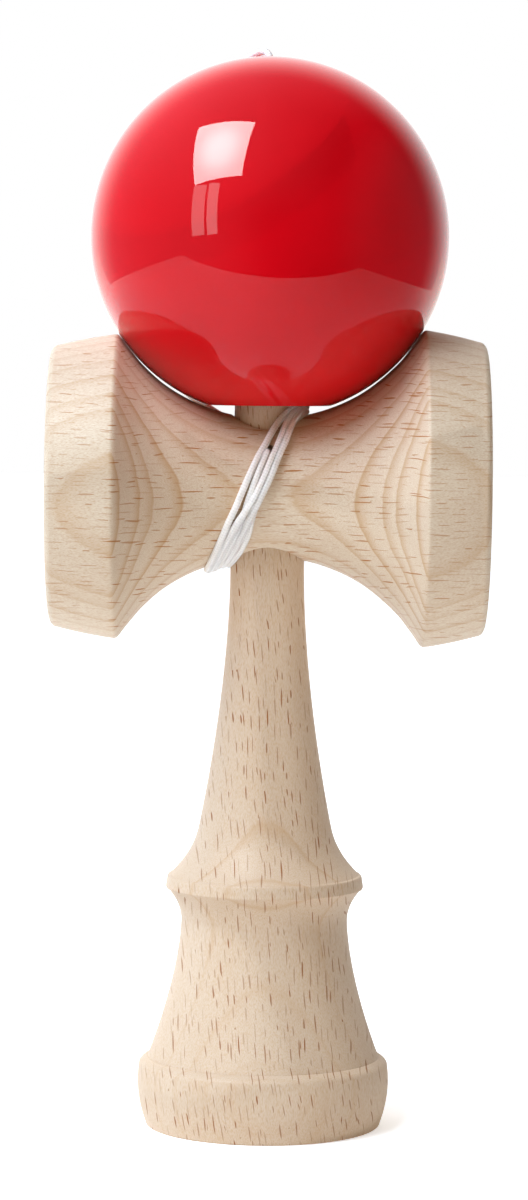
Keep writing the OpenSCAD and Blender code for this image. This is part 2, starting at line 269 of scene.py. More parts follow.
# rows of turn, place along the crosspiece and height over the wood, in mm
# turns count from the front of the crosspiece, down, round the back and over the top beside the spike
woundRows = [
    (-0.056, -1.05, 0.0), (-0.022, -2.02, 0.0), (0.009, -2.92, 0.0), (0.031, -3.45, 0.0), (0.052, -3.88, 0.0),
    (0.075, -4.4, 0.0), (0.106, -5.4, 0.0), (0.144, -6.65, 0.0), (0.192, -7.85, 0.0), (0.25, -8.5, 0.0),
    (0.292, -8.75, 0.0), (0.344, -8.6, 0.0), (0.383, -7.7, 0.0), (0.431, -6.3, 0.0), (0.5, -4.0, 0.0),
    (0.581, -1.4, 0.0), (0.608, -0.3, 0.1), (0.672, 1.9, 0.9), (0.708, 4.2, 2.3), (0.75, 6.3, 2.7),
    (0.792, 4.4, 2.3), (0.828, 1.9, 0.9), (0.861, 0.55, 0.35), (0.892, -0.3, 0.1), (0.919, -1.46, 0.0),
    (0.961, -2.82, 0.0), (1.0, -4.15, 0.0), (1.039, -5.35, 0.0), (1.069, -6.5, 0.0), (1.117, -7.9, 0.0),
    (1.156, -8.95, 0.0), (1.208, -9.95, 0.0), (1.25, -10.15, 0.0), (1.306, -9.6, 0.9), (1.361, -7.5, 0.9),
    (1.431, -5.2, 0.1), (1.5, -2.9, 0.0), (1.581, -0.3, 0.0), (1.608, 0.8, 0.1), (1.672, 2.9, 0.7),
    (1.708, 4.6, 1.5), (1.75, 6.3, 1.8), (1.8, 4.7, 1.6), (1.836, 3.2, 1.1), (1.889, 2.03, 0.85),
    (1.939, 0.48, 0.85), (1.978, -0.78, 0.8), (2.013, -2.04, 0.8), (2.042, -3.6, 0.85), (2.07, -5.15, 0.5),
    (2.104, -6.4, 0.1), (2.142, -7.57, 0.0), (2.206, -9.05, 0.0), (2.25, -9.35, 0.1), (2.306, -8.6, 0.95),
    (2.361, -6.3, 0.7), (2.431, -4.1, 0.0), (2.5, -1.9, 0.0), (2.581, 0.8, 0.0), (2.608, 1.8, 0.1),
    (2.672, 3.8, 0.5), (2.708, 5.0, 0.8), (2.75, 6.3, 0.9), (2.8, 5.2, 0.85), (2.839, 4.0, 0.8),
    (2.889, 3.0, 0.75), (2.936, 1.45, 0.75), (2.972, 0.48, 0.75), (3.004, -0.8, 0.75), (3.033, -1.9, 0.7),
    (3.066, -3.25, 0.55), (3.1, -4.4, 0.1), (3.147, -5.55, 0.0), (3.211, -7.1, 0.0), (3.25, -7.6, 0.0),
    (3.306, -7.0, 0.0), (3.361, -5.2, 0.0), (3.431, -3.0, 0.0), (3.5, -0.8, 0.0), (3.581, 1.9, 0.0),
    (3.608, 2.8, 0.1), (3.672, 4.6, 0.2), (3.708, 5.5, 0.1), (3.75, 6.3, 0.0), (3.8, 4.6, 0.0),
    (3.839, 3.6, 0.0), (3.889, 2.55, 0.0), (3.939, 1.0, 0.0), (3.978, -0.15, 0.0), (4.014, -1.4, 0.0),
    (4.036, -2.1, 0.0), (4.058, -2.6, 0.0), (4.079, -2.82, 0.0), (4.112, -3.4, 0.0), (4.151, -4.47, 0.0),
    (4.206, -6.0, 0.0), (4.25, -6.5, 0.1), (4.31, -6.5, 0.85), (4.37, -6.5, 1.05), (4.43, -6.1, 1.05),
    (4.49, -5.3, 1.05), (4.54, -4.6, 1.1)]
# free stretches, measured from the middle of the crosspiece
leadRoute = [(0, 3.2, 6.35), (0, -2, 6.35), (0, -8.8, 6.2), (-0.15, -10.2, 5.8)]
riserRoute = [(-4.6, 12.3, 7.5), (-5.2, 10.9, 10), (-6.3, 8.6, 11.2), (-8, 7.0, 11.9), (-9.2, 6.6, 12.6),
              (-10.3, 6.7, 13.4), (-12.3, 7.6, 14.6), (-14.4, 9.5, 16.1), (-16, 13, 18.4),
              (-16.6, 19.8, 24.4), (-16.2, 24, 30.5), (-16.5, 26.4, 36), (-16, 26.8, 41.9),
              (-15.8, 26.3, 47.5), (-14.7, 25.2, 53), (-12, 20.6, 62), (-8.1, 14, 68.6), (-4.6, 8, 71.65),
              (-2.4, 4.2, 72.7), (-1.3, 2.3, 72.95), (-0.75, 1.3, 72.8), (-0.3, 0.55, 72.2),
              (-0.1, 0.15, 71.3), (0, 0, 70.25), (0, 0, 69.05), (0, 0, 62), (0, 0, 53.2)]


def saddleAt(x):
    return saddleCentre - sqrt(stringBed["saddle"] ** 2 - x * x)


def woundPoint(turn, x, lift):
    a = 2 * pi * turn
    r = saddleAt(x) + stringBed["snug"] + lift
    return Vector((x, -r * cos(a), -r * sin(a)))


# moves a point out of the crosspiece's waist and out of the spike
def clearOfWood(p, bed):
    r = hypot(p.y, p.z)
    least = saddleAt(p.x) + bed["snug"] if abs(p.x) < bed["saddleEnd"] else 0
    if bed["core"] < r < least:
        p = Vector((p.x, p.y * least / r, p.z * least / r))
    away = hypot(p.x, p.y)
    least = bed["spike"] + bed["snug"]
    if bed["spikeLow"] < p.z < bed["spikeHigh"] and bed["spikeAxis"] < away < least:
        p = Vector((p.x * least / away, p.y * least / away, p.z))
    return p


def evenly(points, step):
    out, left = [points[0]], step
    for a, b in zip(points, points[1:]):
        far = (b - a).length
        while far >= left:
            a = a + (b - a) * (left / far)
            out.append(a)
            far, left = (b - a).length, step
        left -= far
    return out + [points[-1]]


def throughPoints(points, count):
    out = []
    last = len(points) - 1
    for i in range(last):
        a, b, c, d = (points[max(0, min(last, i + k))] for k in (-1, 0, 1, 2))
        bow = 2 * a - 5 * b + 4 * c - d
        twist = 3 * b - 3 * c + d - a
        for t in steps(count)[:-1]:
            out.append(b + t * (c - a) / 2 + t * t * bow / 2 + t ** 3 * twist / 2)
    return out + [points[-1]]


def stringRoute(d):
    wound = []
    for (t0, x0, l0), (t1, x1, l1) in zip(woundRows, woundRows[1:]):
        count = max(2, round((t1 - t0) * d["perTurn"]))
        for f in steps(count)[:-1]:
            wound.append(woundPoint(between(t0, t1, f), between(x0, x1, f), between(l0, l1, f)))
    wound.append(woundPoint(*woundRows[-1]))
    free = throughPoints([Vector(p) for p in riserRoute], d["perSpan"])
    route = evenly([Vector(p) for p in leadRoute] + wound + free, d["spacing"])
    first, last = route[0].copy(), route[-1].copy()
    # the lead comes out through its hole, so it isn't moved clear of the wood
    held = d["lead"] / d["spacing"]
    for again in range(1, d["rounds"] + 1):
        route = [first] + [(a + 2 * b + c) / 4 for a, b, c in zip(route, route[1:], route[2:])] + [last]
        if again % d["clearEvery"] == 0:
            route = [p if i < held else clearOfWood(p, stringBed) for i, p in enumerate(route)]
    route = [Vector((p.x, p.y, p.z + crossZ)) * mm for p in route]
    return evenly(route, stringCord["step"] * mm)


stringPath = stringRoute(stringDrawing)


def makeString(c, finish):
    material, tree, shader = newMaterial("braidedString", finish["plain"])
    cell = parts(tree, put(tree, "ShaderNodeAttribute", attribute_name="braid").outputs["Vector"])
    around = times(tree, calc(tree, "ARCTAN2", cell[1], cell[0]), c["carriers"])
    along = times(tree, cell[2], 2 * pi / (c["pick"] * mm))
    bumps = times(tree, plus(tree, calc(tree, "COSINE", around), calc(tree, "COSINE", along)), 0.5)
    # yarns lean to the left and to the right by turns
    lean = calc(tree, "SINE", plus(tree, times(tree, around, 0.5), times(tree, along, 0.5)))
    slant = times(tree, along, calc(tree, "SIGN", lean))
    fine = calc(tree, "SINE", plus(tree, times(tree, around, 2.0), slant))
    fuzz = noiseAt(tree, objectPlace(tree), finish["fuzz"], 3.0)
    height = plus(tree, bumps, times(tree, fine, finish["fineHeight"]),
                  times(tree, fuzz, finish["fuzzHeight"]))
    # painted shade and light: the cord's colour is darker in the braid's hollows and lighter on its crests,
    # partly random tone of the yarn from the fuzz
    paintedShading = spread(tree, height, -0.9, 0.9, 0.0, 1.0, True)
    fill(tree, shader.inputs, {
        "Base Color": mixColor(tree, paintedShading, finish["paintedHollowShade"], finish["light"]),
        "Roughness": spread(tree, fuzz, 0.3, 0.7, *finish["rough"]), "Specular IOR Level": finish["specular"],
        "Sheen Weight": finish["sheen"], "Subsurface Weight": finish["glow"],
        "Subsurface Radius": finish["glowColour"], "Subsurface Scale": finish["glowDepth"],
        "Normal": bumpFrom(tree, height, finish["bump"], finish["bumpHeight"])})
    return material


stringMaterial = makeString(stringCord, stringFinish)


# keeps a value of a curve's points for the mesh that is made from it
def captured(tree, curve, value, name):
    made = tree.nodes.new("GeometryNodeCaptureAttribute")
    made.capture_items.new("FLOAT", name)
    tree.links.new(curve, made.inputs[0])
    tree.links.new(value, made.inputs[1])
    return made.outputs[0], made.outputs[1]


# the cord as a tree: a ring swept along the route, pushed out where a yarn crosses over
def braidTree():
    tree = bpy.data.node_groups.new("braidedCord", "GeometryNodeTree")
    inputs = {"Route": "Geometry", "Radius": "Float", "Sides": "Int", "Carriers": "Float", "Pick": "Float",
              "Depth": "Float", "Finish": "Material"}
    for name, kind in inputs.items():
        tree.interface.new_socket(name, in_out="INPUT", socket_type="NodeSocket" + kind)
    tree.interface.new_socket("Cord", in_out="OUTPUT", socket_type="NodeSocketGeometry")
    given = tree.nodes.new("NodeGroupInput").outputs
    spot = put(tree, "GeometryNodeSplineParameter").outputs
    circle = put(tree, "GeometryNodeCurvePrimitiveCircle",
                 {"Resolution": given["Sides"], "Radius": given["Radius"]}).outputs[0]
    route, along = captured(tree, given["Route"], spot["Length"], "along")
    ring, around = captured(tree, circle, spot["Factor"], "around")
    tube = put(tree, "GeometryNodeCurveToMesh",
               {"Curve": route, "Profile Curve": ring, "Fill Caps": True}).outputs[0]
    angle = times(tree, around, 2 * pi)
    turns = calc(tree, "DIVIDE", times(tree, along, 2 * pi), given["Pick"])
    yarns = calc(tree, "COSINE", times(tree, angle, given["Carriers"]))
    push = times(tree, plus(tree, yarns, calc(tree, "COSINE", turns)), 0.5, given["Depth"])
    facing = put(tree, "GeometryNodeInputNormal").outputs[0]
    offset = vectorMath(tree, "SCALE", {0: facing, "Scale": push})[0]
    cell = vector(tree, calc(tree, "COSINE", angle), calc(tree, "SINE", angle), along)
    kept = put(tree, "GeometryNodeStoreNamedAttribute", {"Geometry": tube, "Name": "braid", "Value": cell},
               data_type="FLOAT_VECTOR", domain="POINT").outputs[0]
    moved = put(tree, "GeometryNodeSetPosition", {"Geometry": kept, "Offset": offset}).outputs[0]
    smooth = put(tree, "GeometryNodeSetShadeSmooth", {"Geometry": moved}).outputs[0]
    real = put(tree, "GeometryNodeRealizeInstances", {"Geometry": smooth}).outputs[0]
    done = put(tree, "GeometryNodeSetMaterial", {"Geometry": real, "Material": given["Finish"]}).outputs[0]
    tree.links.new(done, tree.nodes.new("NodeGroupOutput").inputs[0])
    return tree


cordTree = braidTree()


def braided(name, path, radius):
    curve = bpy.data.curves.new(name + "Route", "CURVE")
    curve.dimensions = "3D"
    line = curve.splines.new("POLY")
    line.points.add(len(path) - 1)
    for point, p in zip(line.points, path):
        point.co = (*p, 1)
    holder = addObject(name + "Route", curve)
    modifier = holder.modifiers.new("cord", "NODES")
    modifier.node_group = cordTree
    values = {"Radius": radius * mm, "Sides": stringCord["sides"], "Carriers": float(stringCord["carriers"]),
              "Pick": stringCord["pick"] * mm, "Depth": stringCord["depth"] * mm, "Finish": stringMaterial}
    for item in cordTree.interface.items_tree:
        if item.in_out == "INPUT" and item.name in values:
            modifier[item.identifier] = values[item.name]
    mesh = evaluatedMesh(holder)
    mesh.name = name
    bpy.data.objects.remove(holder)
    return addObject(name, mesh)


string = braided("string", stringPath, stringCord["diameter"] / 2)
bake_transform(string)
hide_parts("string_winding", "string_riser", "string_inner")


# overhand knots that keep the string's ends in the stick and under the bead
def addKnot(name, node, body, size):
    low, high = (Vector(corner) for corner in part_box(node))
    middle = (low + high) / 2
    path = []
    for f in steps(stringCord["knotSteps"]):
        t = 2 * pi * f
        deep = -stringCord["knotDepth"] * sin(3 * t)
        p = Vector((sin(t) + 2 * sin(2 * t), cos(t) - 2 * cos(2 * t), deep)) / 3
        path.append(middle + Vector((p.x, p.z, p.y) if node == "stick_knot" else p) * size * mm)
    knot = braided(name, path, stringCord["knotRadius"])
    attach(knot, body)
    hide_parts(node)
    return knot


stringKnots = [addKnot("stickKnot", "stick_knot", "handle", 0.95),
               addKnot("beadKnot", "bead_knot", "bead", 1.0)]
print("kendama: string wound")


# beech: growth layers across the depth, ray flecks along the grain, fine fibre

beechWood = {"line": (0.54, 0.31, 0.14), "fadePower": 1.4, "lineStart": -0.08, "linePeak": 0.05,
             "deepest": 28.0, "sway": 0.35, "ripple": 0.12, "fleckAcross": 1.25, "fleckAlong": 4.1,
             "fleckDeep": 9.0, "fleckBend": 0.45, "fleckWidths": (0.55, 1.35),
             "fleckLengths": (0.45, 1.4), "fleckPalest": 0.2, "fleckCut": (0.1, 0.45), "fleckUncut": 0.25}
# scales are per mm across, deep into and along the grain
beechFinish = {"swayScale": (0.07, 0.04, 0.04), "rippleScale": (0.4, 0.15, 0.12),
               "bendScale": (0.2, 0.1, 0.06), "fibreScale": (5.5, 5.5, 0.28),
               "cloudScale": (0.13, 0.13, 0.03), "poreScale": (9.0, 9.0, 1.4), "fibreShare": 0.25,
               "poreShare": 0.6, "rough": (0.46, 0.6), "fleckRough": 0.12, "specular": 0.2,
               "fibreHeight": 0.5, "poreHeight": 0.35, "fleckHeight": -0.3, "bump": 0.25,
               "bumpHeight": 0.00006}
# layers are (distance in front of the axis, strength)
stickGrain = {"axis": "Z", "pale": (0.7, 0.562, 0.42), "rosy": (0.67, 0.52, 0.374),
              "fleck": (0.31, 0.105, 0.024), "fade": 0.8, "layerStrength": 0.55, "fleckWidth": 0.103,
              "fleckLength": 1.35, "lean": 0.03, "seed": 3.7, "grainLean": 0.09, "drift": 0.07,
              "driftBelow": 13.0, "waistFrom": 26.0, "waistTo": 36.0, "lowLayer": 0.55,
              "layers": [(-17.5, 0.8), (-13.8, 1.0), (-9.4, 0.9), (-4.0, 1.0), (-1.2, 0.9), (10.6, 0.9),
                         (14.9, 1.0), (18.5, 0.6), (20.1, 0.7)]}
crossGrain = {"axis": "X", "pale": (0.765, 0.655, 0.51), "rosy": (0.735, 0.61, 0.463),
              "fleck": (0.45, 0.175, 0.045), "fade": 1.5, "layerStrength": 0.8, "fleckWidth": 0.105,
              "fleckLength": 1.55, "lean": -0.1, "seed": 11.3, "bandFrom": 25.6, "bandTo": 26.6,
              "bandLayer": 0.55, "bandFleck": 0.65,
              "layers": [(-17.2, 1.0), (-9.6, 0.9), (1.5, 0.9), (5.2, 0.8), (8.3, 0.7), (11.9, 0.8),
                         (15.2, 1.0), (18.3, 0.8), (20.2, 0.9), (23.9, 1.0)]}


# growth layers: thin brown lines that fade towards the front
def growthLayers(tree, wood, depth):
    ramp = tree.nodes.new("ShaderNodeValToRGB")
    stops = ramp.color_ramp.elements
    while len(stops) > 1:
        stops.remove(stops[-1])
    stops[0].position = 0
    stops[0].color = (0, 0, 0, 1)
    far = beechWood["deepest"]
    for at, strength in wood["layers"]:
        shape = ((beechWood["lineStart"], 0.0), (beechWood["linePeak"], strength), (wood["fade"], 0.0))
        for offset, level in shape:
            stop = stops.new((at + offset + far) / (2 * far))
            stop.color = (level, level, level, 1)
    tree.links.new(spread(tree, depth, -far, far), ramp.inputs[0])
    return times(tree, calc(tree, "POWER", ramp.outputs[0], beechWood["fadePower"]), wood["layerStrength"])


# ray flecks: thin ribbons that run deep into the wood, short dashes where the surface cuts them
def rayFlecks(tree, wood, side, deep, along):
    b = beechWood
    u = plus(tree, calc(tree, "DIVIDE", side, b["fleckAcross"]), wood["seed"])
    v = calc(tree, "DIVIDE", along, b["fleckAlong"])
    w = calc(tree, "DIVIDE", deep, b["fleckDeep"])
    cells = put(tree, "ShaderNodeTexVoronoi",
                {"Vector": vector(tree, u, w, v), "Scale": 1.0, "Randomness": 1.0},
                voronoi_dimensions="3D", feature="F1").outputs
    chance = put(tree, "ShaderNodeSeparateColor", {0: cells["Color"]}).outputs
    core = parts(tree, cells["Position"])
    width = spread(tree, chance[1], 0.0, 1.0, *(wood["fleckWidth"] * part for part in b["fleckWidths"]))
    length = spread(tree, chance[0], 0.0, 1.0, *(wood["fleckLength"] * part for part in b["fleckLengths"]))
    across = calc(tree, "DIVIDE", times(tree, minus(tree, u, core[0]), b["fleckAcross"]), width)
    onward = calc(tree, "DIVIDE", times(tree, minus(tree, v, core[2]), b["fleckAlong"]), length)
    near = plus(tree, times(tree, across, across), times(tree, onward, onward))
    strength = spread(tree, chance[2], 0.0, 1.0, b["fleckPalest"], 1.0)
    return times(tree, spread(tree, near, 1.25, 0.35, 0.0, 1.0, True), strength)


def makeBeech(name, wood, finish):
    material, tree, shader = newMaterial(name, wood["pale"])
    place = parts(tree, objectPlace(tree))
    upright = wood["axis"] == "Z"
    side, deep, along = (times(tree, place[axis], 1000.0) for axis in ((0, 1, 2) if upright else (2, 1, 0)))
    if not upright:
        side = minus(tree, side, crossZ)

    def noise(scale, detail=2.0):
        a, b, c = scale
        x = calc(tree, "MULTIPLY_ADD", side, a, wood["seed"])
        return noiseAt(tree, vector(tree, x, times(tree, deep, b), times(tree, along, c)), 1.0, detail)

    def wander(scale, most):
        return spread(tree, noise(scale), 0.25, 0.75, -most, most)

    sway = wander(finish["swayScale"], beechWood["sway"])
    ripple = wander(finish["rippleScale"], beechWood["ripple"])
    depth = plus(tree, times(tree, deep, -1.0), times(tree, side, wood["lean"]), plus(tree, sway, ripple))
    layer = growthLayers(tree, wood, depth)
    bend = wander(finish["bendScale"], beechWood["fleckBend"])
    if upright:
        # the layers are faint below the waist, and the grain leans a little, more in the base
        faint = spread(tree, along, wood["waistFrom"], wood["waistTo"], wood["lowLayer"], 1.0)
        layer = times(tree, layer, faint)
        low = calc(tree, "MINIMUM", minus(tree, along, wood["driftBelow"]), 0.0)
        bend = plus(tree, bend, times(tree, along, wood["grainLean"]), times(tree, low, wood["drift"]))
    fleck = rayFlecks(tree, wood, plus(tree, side, bend), deep, along)
    # flecks are pale where the surface runs along the ribbons
    square = calc(tree, "MULTIPLY_ADD", side, side, calc(tree, "MULTIPLY_ADD", deep, deep, 0.01))
    facing = calc(tree, "DIVIDE", calc(tree, "ABSOLUTE", deep), calc(tree, "SQRT", square))
    cut = spread(tree, facing, *beechWood["fleckCut"], beechWood["fleckUncut"], 1.0, True)
    fleck = times(tree, fleck, cut)
    if not upright:
        # both are faint on the bands outside the ridges
        outside = spread(tree, calc(tree, "ABSOLUTE", along), wood["bandFrom"], wood["bandTo"])
        layer = times(tree, layer, spread(tree, outside, 0.0, 1.0, 1.0, wood["bandLayer"]))
        fleck = times(tree, fleck, spread(tree, outside, 0.0, 1.0, 1.0, wood["bandFleck"]))

    fibre = noise(finish["fibreScale"], 4.0)
    pores = noise(finish["poreScale"], 3.0)
    fibreShare = spread(tree, fibre, 0.35, 0.75, 0.0, finish["fibreShare"])
    poreShare = spread(tree, pores, 0.45, 0.72, 0.0, finish["poreShare"])
    colour = mixColor(tree, spread(tree, noise(finish["cloudScale"]), 0.3, 0.7), wood["pale"], wood["rosy"])
    for share in (fibreShare, poreShare, layer):
        colour = mixColor(tree, share, colour, beechWood["line"])
    colour = mixColor(tree, fleck, colour, wood["fleck"])
    rough = plus(tree, spread(tree, fibre, 0.3, 0.7, *finish["rough"]),
                 times(tree, fleck, finish["fleckRough"]))
    relief = plus(tree, times(tree, fibre, finish["fibreHeight"]), times(tree, pores, finish["poreHeight"]),
                  times(tree, fleck, finish["fleckHeight"]))
    fill(tree, shader.inputs, {
        "Base Color": colour, "Roughness": rough, "Specular IOR Level": finish["specular"],
        "Normal": bumpFrom(tree, relief, finish["bump"], finish["bumpHeight"])})
    return material


stickBeech = makeBeech("beechStick", stickGrain, beechFinish)
crossBeech = makeBeech("beechCrosspiece", crossGrain, beechFinish)
print("kendama: beech made")


# stick, turned about the upright axis

stickTurning = {"height": 155, "footRadius": 19.4, "footRound": 0.5, "baseRadius": 21.2, "bellyZ": 7.6,
                "tuck": 1.5, "shoulderZ": 10.8, "shoulderRound": 0.9, "ledgeRadius": 19.75, "ledgeRound": 0.2,
                "skirtZ": 11.6, "skirtRadius": 19.5, "skirtPower": 1.6, "waistZ": 34.8, "waistRadius": 14,
                "flangeZ": 40.1, "flangeThick": 2.4, "flangeRadius": 16.7, "flangeRound": 0.45,
                "flangeCorner": 0.45, "flangeLean": 0.35, "shaftRadius": 12.9, "shaftPower": 1.75,
                "flare": 8.2, "flarePower": 2.2, "neckZ": 93.5, "neckRadius": 6.2,
                "neckRings": (100, 108, 115.5), "spikeZ": 117, "spikeRadius": 5.75, "spikePower": 1.7,
                "tipRadius": 3, "tipHeight": 2.6, "cupRadius": 16.8, "cupDepth": 7.4, "cupLip": 0.6,
                "cupLipIn": 0.25, "segments": 224}


# the foot's hollow, the base and the skirt up to the waist
def baseOutline(s):
    def baseSide(z):
        return s["baseRadius"] - s["tuck"] * ((z - s["bellyZ"]) / s["bellyZ"]) ** 2

    dish = [(r, s["cupDepth"] - h) for r, h in dishCurve(s["cupRadius"], s["cupDepth"], 24)[:-2]]
    lip = rounded(dish[-1], (s["cupRadius"] - s["cupLipIn"], 0), (s["footRadius"], 0), s["cupLip"])
    foot = [(between(s["footRadius"], baseSide(s["footRound"]), sin(pi / 2 * f)),
             s["footRound"] * (1 - cos(pi / 2 * f))) for f in steps(10)]
    sideTop = s["shoulderZ"] - s["shoulderRound"]
    side = [(baseSide(z), z) for z in (between(s["footRound"], sideTop, f) for f in steps(16)[1:])]
    corner, ledge = (baseSide(s["shoulderZ"]), s["shoulderZ"]), (s["ledgeRadius"], s["skirtZ"])
    shoulder = rounded(side[-1], corner, ledge, s["shoulderRound"], 8)
    shoulder += rounded(shoulder[-1], ledge, (s["skirtRadius"], s["skirtZ"]), s["ledgeRound"], 4)
    skirt = [(between(s["waistRadius"], s["skirtRadius"], (1 - f) ** s["skirtPower"]),
              between(s["skirtZ"], s["waistZ"], f)) for f in steps(30)]
    return dish + lip + foot + side + shoulder[1:] + skirt


# the flange over the waist, as far as its upper edge
def flangeOutline(s):
    lipRadius, thick = s["flangeRadius"] - s["flangeRound"], s["flangeThick"]
    under = [(between(s["waistRadius"], lipRadius, f * f), between(s["waistZ"], s["flangeZ"], f))
             for f in steps(14)[1:]]
    low = [(lipRadius + s["flangeRound"] * sin(pi / 2 * f), s["flangeCorner"] * (1 - cos(pi / 2 * f)))
           for f in steps(7)[1:]]
    edge = low + [(r, thick - h) for r, h in reversed(low)] + [(lipRadius, thick)]
    return under + [(r - s["flangeLean"] * h / thick, s["flangeZ"] + h) for r, h in edge]


def stickOutline(s):
    lower = baseOutline(s) + flangeOutline(s)
    topRadius, top = lower[-1]
    shaft = []
    for f in steps(50)[1:]:
        z = between(top, s["neckZ"], f ** s["shaftPower"])
        t, q = (s["neckZ"] - z) / (s["neckZ"] - top), max(0, 1 - (z - top) / s["flare"])
        r = between(s["neckRadius"], s["shaftRadius"], t ** s["shaftPower"])
        shaft.append((r + (topRadius - s["shaftRadius"]) * q ** s["flarePower"], z))
    neck = [(s["neckRadius"], z) for z in s["neckRings"]]
    tipZ = s["height"] - s["tipHeight"]
    spike = [(between(s["tipRadius"], s["spikeRadius"], 1 - f ** s["spikePower"]),
              between(s["spikeZ"], tipZ, f)) for f in steps(30)]
    tip = [(s["tipRadius"] * cos(pi / 2 * f), tipZ + s["tipHeight"] * sin(pi / 2 * f))
           for f in steps(8)[1:-1]]
    return tidyOutline(lower + shaft + neck + spike + tip + [(0, s["height"])])


stickMesh = turned("stick", stickOutline(stickTurning), stickTurning["segments"])
stick = addObject("stick", stickMesh, stickBeech)
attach(stick, "handle")
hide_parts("stick")
print("kendama: stick turned")


# crosspiece, turned about its length, with the string's hole in front

crossTurning = {"half": 36.4, "waist": 11.6, "saddle": 30.3, "rimRound": 1.3, "crown": 0.15,
                "ridgeRound": 0.28, "lip": 0.9, "swell": 0.16, "seat": 0.1, "seatOver": 1.6, "ridgeFade": 0.6,
                "hole": 1.1, "holeRise": 6.35, "holeFrom": -14, "bore": 6.25, "boreHalf": 20,
                "cutSides": 64, "segments": 224,
                "small": {"ridge": 25.5, "rim": 23.4, "cup": 20.2, "depth": 9.8,
                          "swellFrom": 17, "swellOver": 5, "seatFrom": 21.2},
                "big": {"ridge": 26.6, "rim": 24.4, "cup": 21.4, "depth": 10.8,
                        "swellFrom": 14.5, "swellOver": 6, "seatFrom": 22.2}}


# half of the outline, from the middle of a cup to the ridge, as (radius, distance from the middle)
def cupSide(c, end):
    floor = c["half"] - end["depth"]
    dish = [(r, floor + h) for r, h in dishCurve(end["cup"], end["depth"], 26)[:-1]]
    ridgeX = sqrt(c["saddle"] ** 2 - (c["waist"] + c["saddle"] - end["ridge"]) ** 2)
    slope = (end["ridge"] - end["rim"]) / (c["half"] - ridgeX)
    land = end["rim"] - c["rimRound"]
    lip = rounded(dish[-1], (end["cup"], c["half"]), (land, c["half"]), c["lip"])
    edge = [(land + (c["rimRound"] + slope * c["rimRound"]) * sin(pi / 2 * f),
             c["half"] - c["rimRound"] * (1 - cos(pi / 2 * f))) for f in steps(10)]
    start = edge[-1]
    band = [(between(start[0], end["ridge"], f) + c["crown"] * 4 * f * (1 - f), between(start[1], ridgeX, f))
            for f in steps(12)[1:-1]]
    return dish + lip + edge + band, (end["ridge"], ridgeX)


def crossOutline(c):
    centre = c["waist"] + c["saddle"]
    small, big = c["small"], c["big"]
    left, leftRidge = cupSide(c, small)
    right, rightRidge = cupSide(c, big)
    start, end = -leftRidge[1], rightRidge[1]
    saddle = []
    for f in steps(120)[1:-1]:
        x = between(start, end, f)
        # the wood swells towards the ball just below each ridge, and nearly touches it at the top
        fade = min(1, min(x - start, end - x) / c["ridgeFade"])
        rise = max(0, (-x - small["swellFrom"]) / small["swellOver"],
                   (x - big["swellFrom"]) / big["swellOver"])
        close = max(0, -x - small["seatFrom"], x - big["seatFrom"]) / c["seatOver"]
        swell = c["swell"] * eased(fade * min(1, rise)) + c["seat"] * eased(fade * min(1, close))
        saddle.append((centre - sqrt((c["saddle"] - swell) ** 2 - x * x), x))
    left = [(r, -x) for r, x in left]
    right.reverse()
    leftCorner = rounded(left[-1], (leftRidge[0], start), saddle[0], c["ridgeRound"], 4)
    rightCorner = rounded(saddle[-1], rightRidge, right[0], c["ridgeRound"], 4)
    return tidyOutline(left + leftCorner + saddle + rightCorner + right)


def cutter(name, radius, start, end):
    start, end = Vector(start) * mm, Vector(end) * mm
    turn = (end - start).to_track_quat("Z", "Y").to_matrix().to_4x4()
    shape = bmesh.new()
    bmesh.ops.create_cone(shape, cap_ends=True, segments=crossTurning["cutSides"], radius1=radius * mm,
                          radius2=radius * mm, depth=(end - start).length,
                          matrix=Matrix.Translation((start + end) / 2) @ turn)
    mesh = bpy.data.meshes.new(name)
    shape.to_mesh(mesh)
    shape.free()
    return addObject(name, mesh)


def makeCrosspiece(c):
    mesh = turned("crosspiece", crossOutline(c), c["segments"], "X", crossZ)
    piece = addObject("crosspiece", mesh, crossBeech)
    holeZ = crossZ + c["holeRise"]
    cuts = [cutter("boreCut", c["bore"], (0, 0, crossZ - c["boreHalf"]), (0, 0, crossZ + c["boreHalf"])),
            cutter("holeCut", c["hole"], (0, c["holeFrom"], holeZ), (0, 0, holeZ))]
    for cut in cuts:
        made = piece.modifiers.new("cut", "BOOLEAN")
        made.operation, made.solver, made.object = "DIFFERENCE", "EXACT", cut
    done = evaluatedMesh(piece)
    piece.modifiers.clear()
    piece.data = done
    for cut in cuts:
        bpy.data.objects.remove(cut)
    smoothFaces(done)
    return piece


crosspiece = makeCrosspiece(crossTurning)
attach(crosspiece, "handle")
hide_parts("crosspiece")
print("kendama: crosspiece turned")


# ball: turned wood under a deep red lacquer

ballTurning = {"radius": 30, "centre": 149.6, "mouth": 10.2, "hole": 8.2, "bevel": 4, "depth": 43.5,
               "roof": 4.3, "eye": 1.1, "eyeFlare": 2.6, "eyeRim": 29.9, "eyeDepth": 1.8, "edge": 0.5,
               "ease": 0.1, "wallRing": 18, "segments": 256}
redLacquer = {"red": (0.69, 0.0018, 0.0075), "deep": (0.62, 0.0014, 0.006), "cloud": 60.0, "flow": 110.0,
              "grain": 900.0, "rough": (0.22, 0.32), "coat": 1.0, "coatRough": 0.015, "coatIndex": 1.33,
              "bump": 0.06, "bumpHeight": 0.0002}


